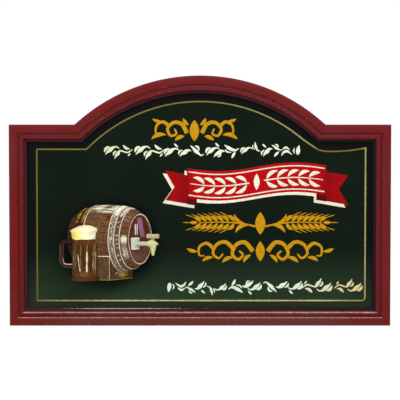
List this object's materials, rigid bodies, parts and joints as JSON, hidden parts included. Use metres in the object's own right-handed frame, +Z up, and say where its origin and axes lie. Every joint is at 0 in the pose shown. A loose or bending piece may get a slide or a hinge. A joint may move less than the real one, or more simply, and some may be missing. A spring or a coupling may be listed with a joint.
{
  "type": "tavern sign",
  "caption": "Arched wall sign: mitred moulded wooden frame round a painted panel with a barrel, mug and tap in relief; D-ring hangers on the back.",
  "frame": {"origin": "middle of the bottom rail's back face, where the sign bears on the wall", "axes": "+X to the right as the sign is read, +Y out of the back towards the wall, +Z up"},
  "size_m": [0.61, 0.0625, 0.4],
  "materials": {
    "frame_paint": "maroon paint over moulded wood, satin, worn on the ridges",
    "panel_paint": "dark green and black paint on board, low gloss",
    "barrel_paint": "brown glaze over carved wood, dry-brushed pale on the edges",
    "head_paint": "red-brown glaze with violet brush strokes",
    "hoop_paint": "hammered bands, silver paint over brown",
    "bung_paint": "red paint",
    "mug_paint": "brown glaze with pale streaks",
    "foam_paint": "cream paint",
    "tap_paint": "silver-cream paint",
    "steel": "bare steel, dull",
    "plated_steel": "zinc-plated steel",
    "brass_screw": "brass-plated"
  },
  "bodies": {
    "sign": {"bottom_rail": "frame_paint", "left_stile": "frame_paint", "right_stile": "frame_paint", "left_shoulder_rail": "frame_paint", "right_shoulder_rail": "frame_paint", "arch_rail": "frame_paint", "corner_fasteners": "steel", "sign_panel": "panel_paint", "panel_points": "steel", "barrel_body": "barrel_paint", "barrel_head": "head_paint", "front_hoop": "hoop_paint", "front_stud_hoop": "hoop_paint", "rear_hoop": "hoop_paint", "rear_stud_hoop": "hoop_paint", "bung": "bung_paint", "cradle": "barrel_paint", "mug_body": "mug_paint", "mug_handle": "mug_paint", "mug_foam": "foam_paint", "tap_flange": "tap_paint", "tap_stem": "tap_paint", "tap_body": "tap_paint", "tap_handle": "tap_paint", "relief_screws": "brass_screw", "hanger_screws": "brass_screw", "hanger_strap_left": "plated_steel", "hanger_strap_right": "plated_steel"},
    "left_ring": {"hanger_ring_left": "plated_steel"},
    "right_ring": {"hanger_ring_right": "plated_steel"}
  },
  "joints": [
    {"name": "left_ring_swing", "type": "hinge", "parent": "sign", "child": "left_ring", "pos_m": [-0.2925, 0.00218, 0.25225], "axis": [1, 0, 0], "range_deg": [0, 170]},
    {"name": "right_ring_swing", "type": "hinge", "parent": "sign", "child": "right_ring", "pos_m": [0.2925, 0.00218, 0.25225], "axis": [1, 0, 0], "range_deg": [0, 170]}
  ]
}
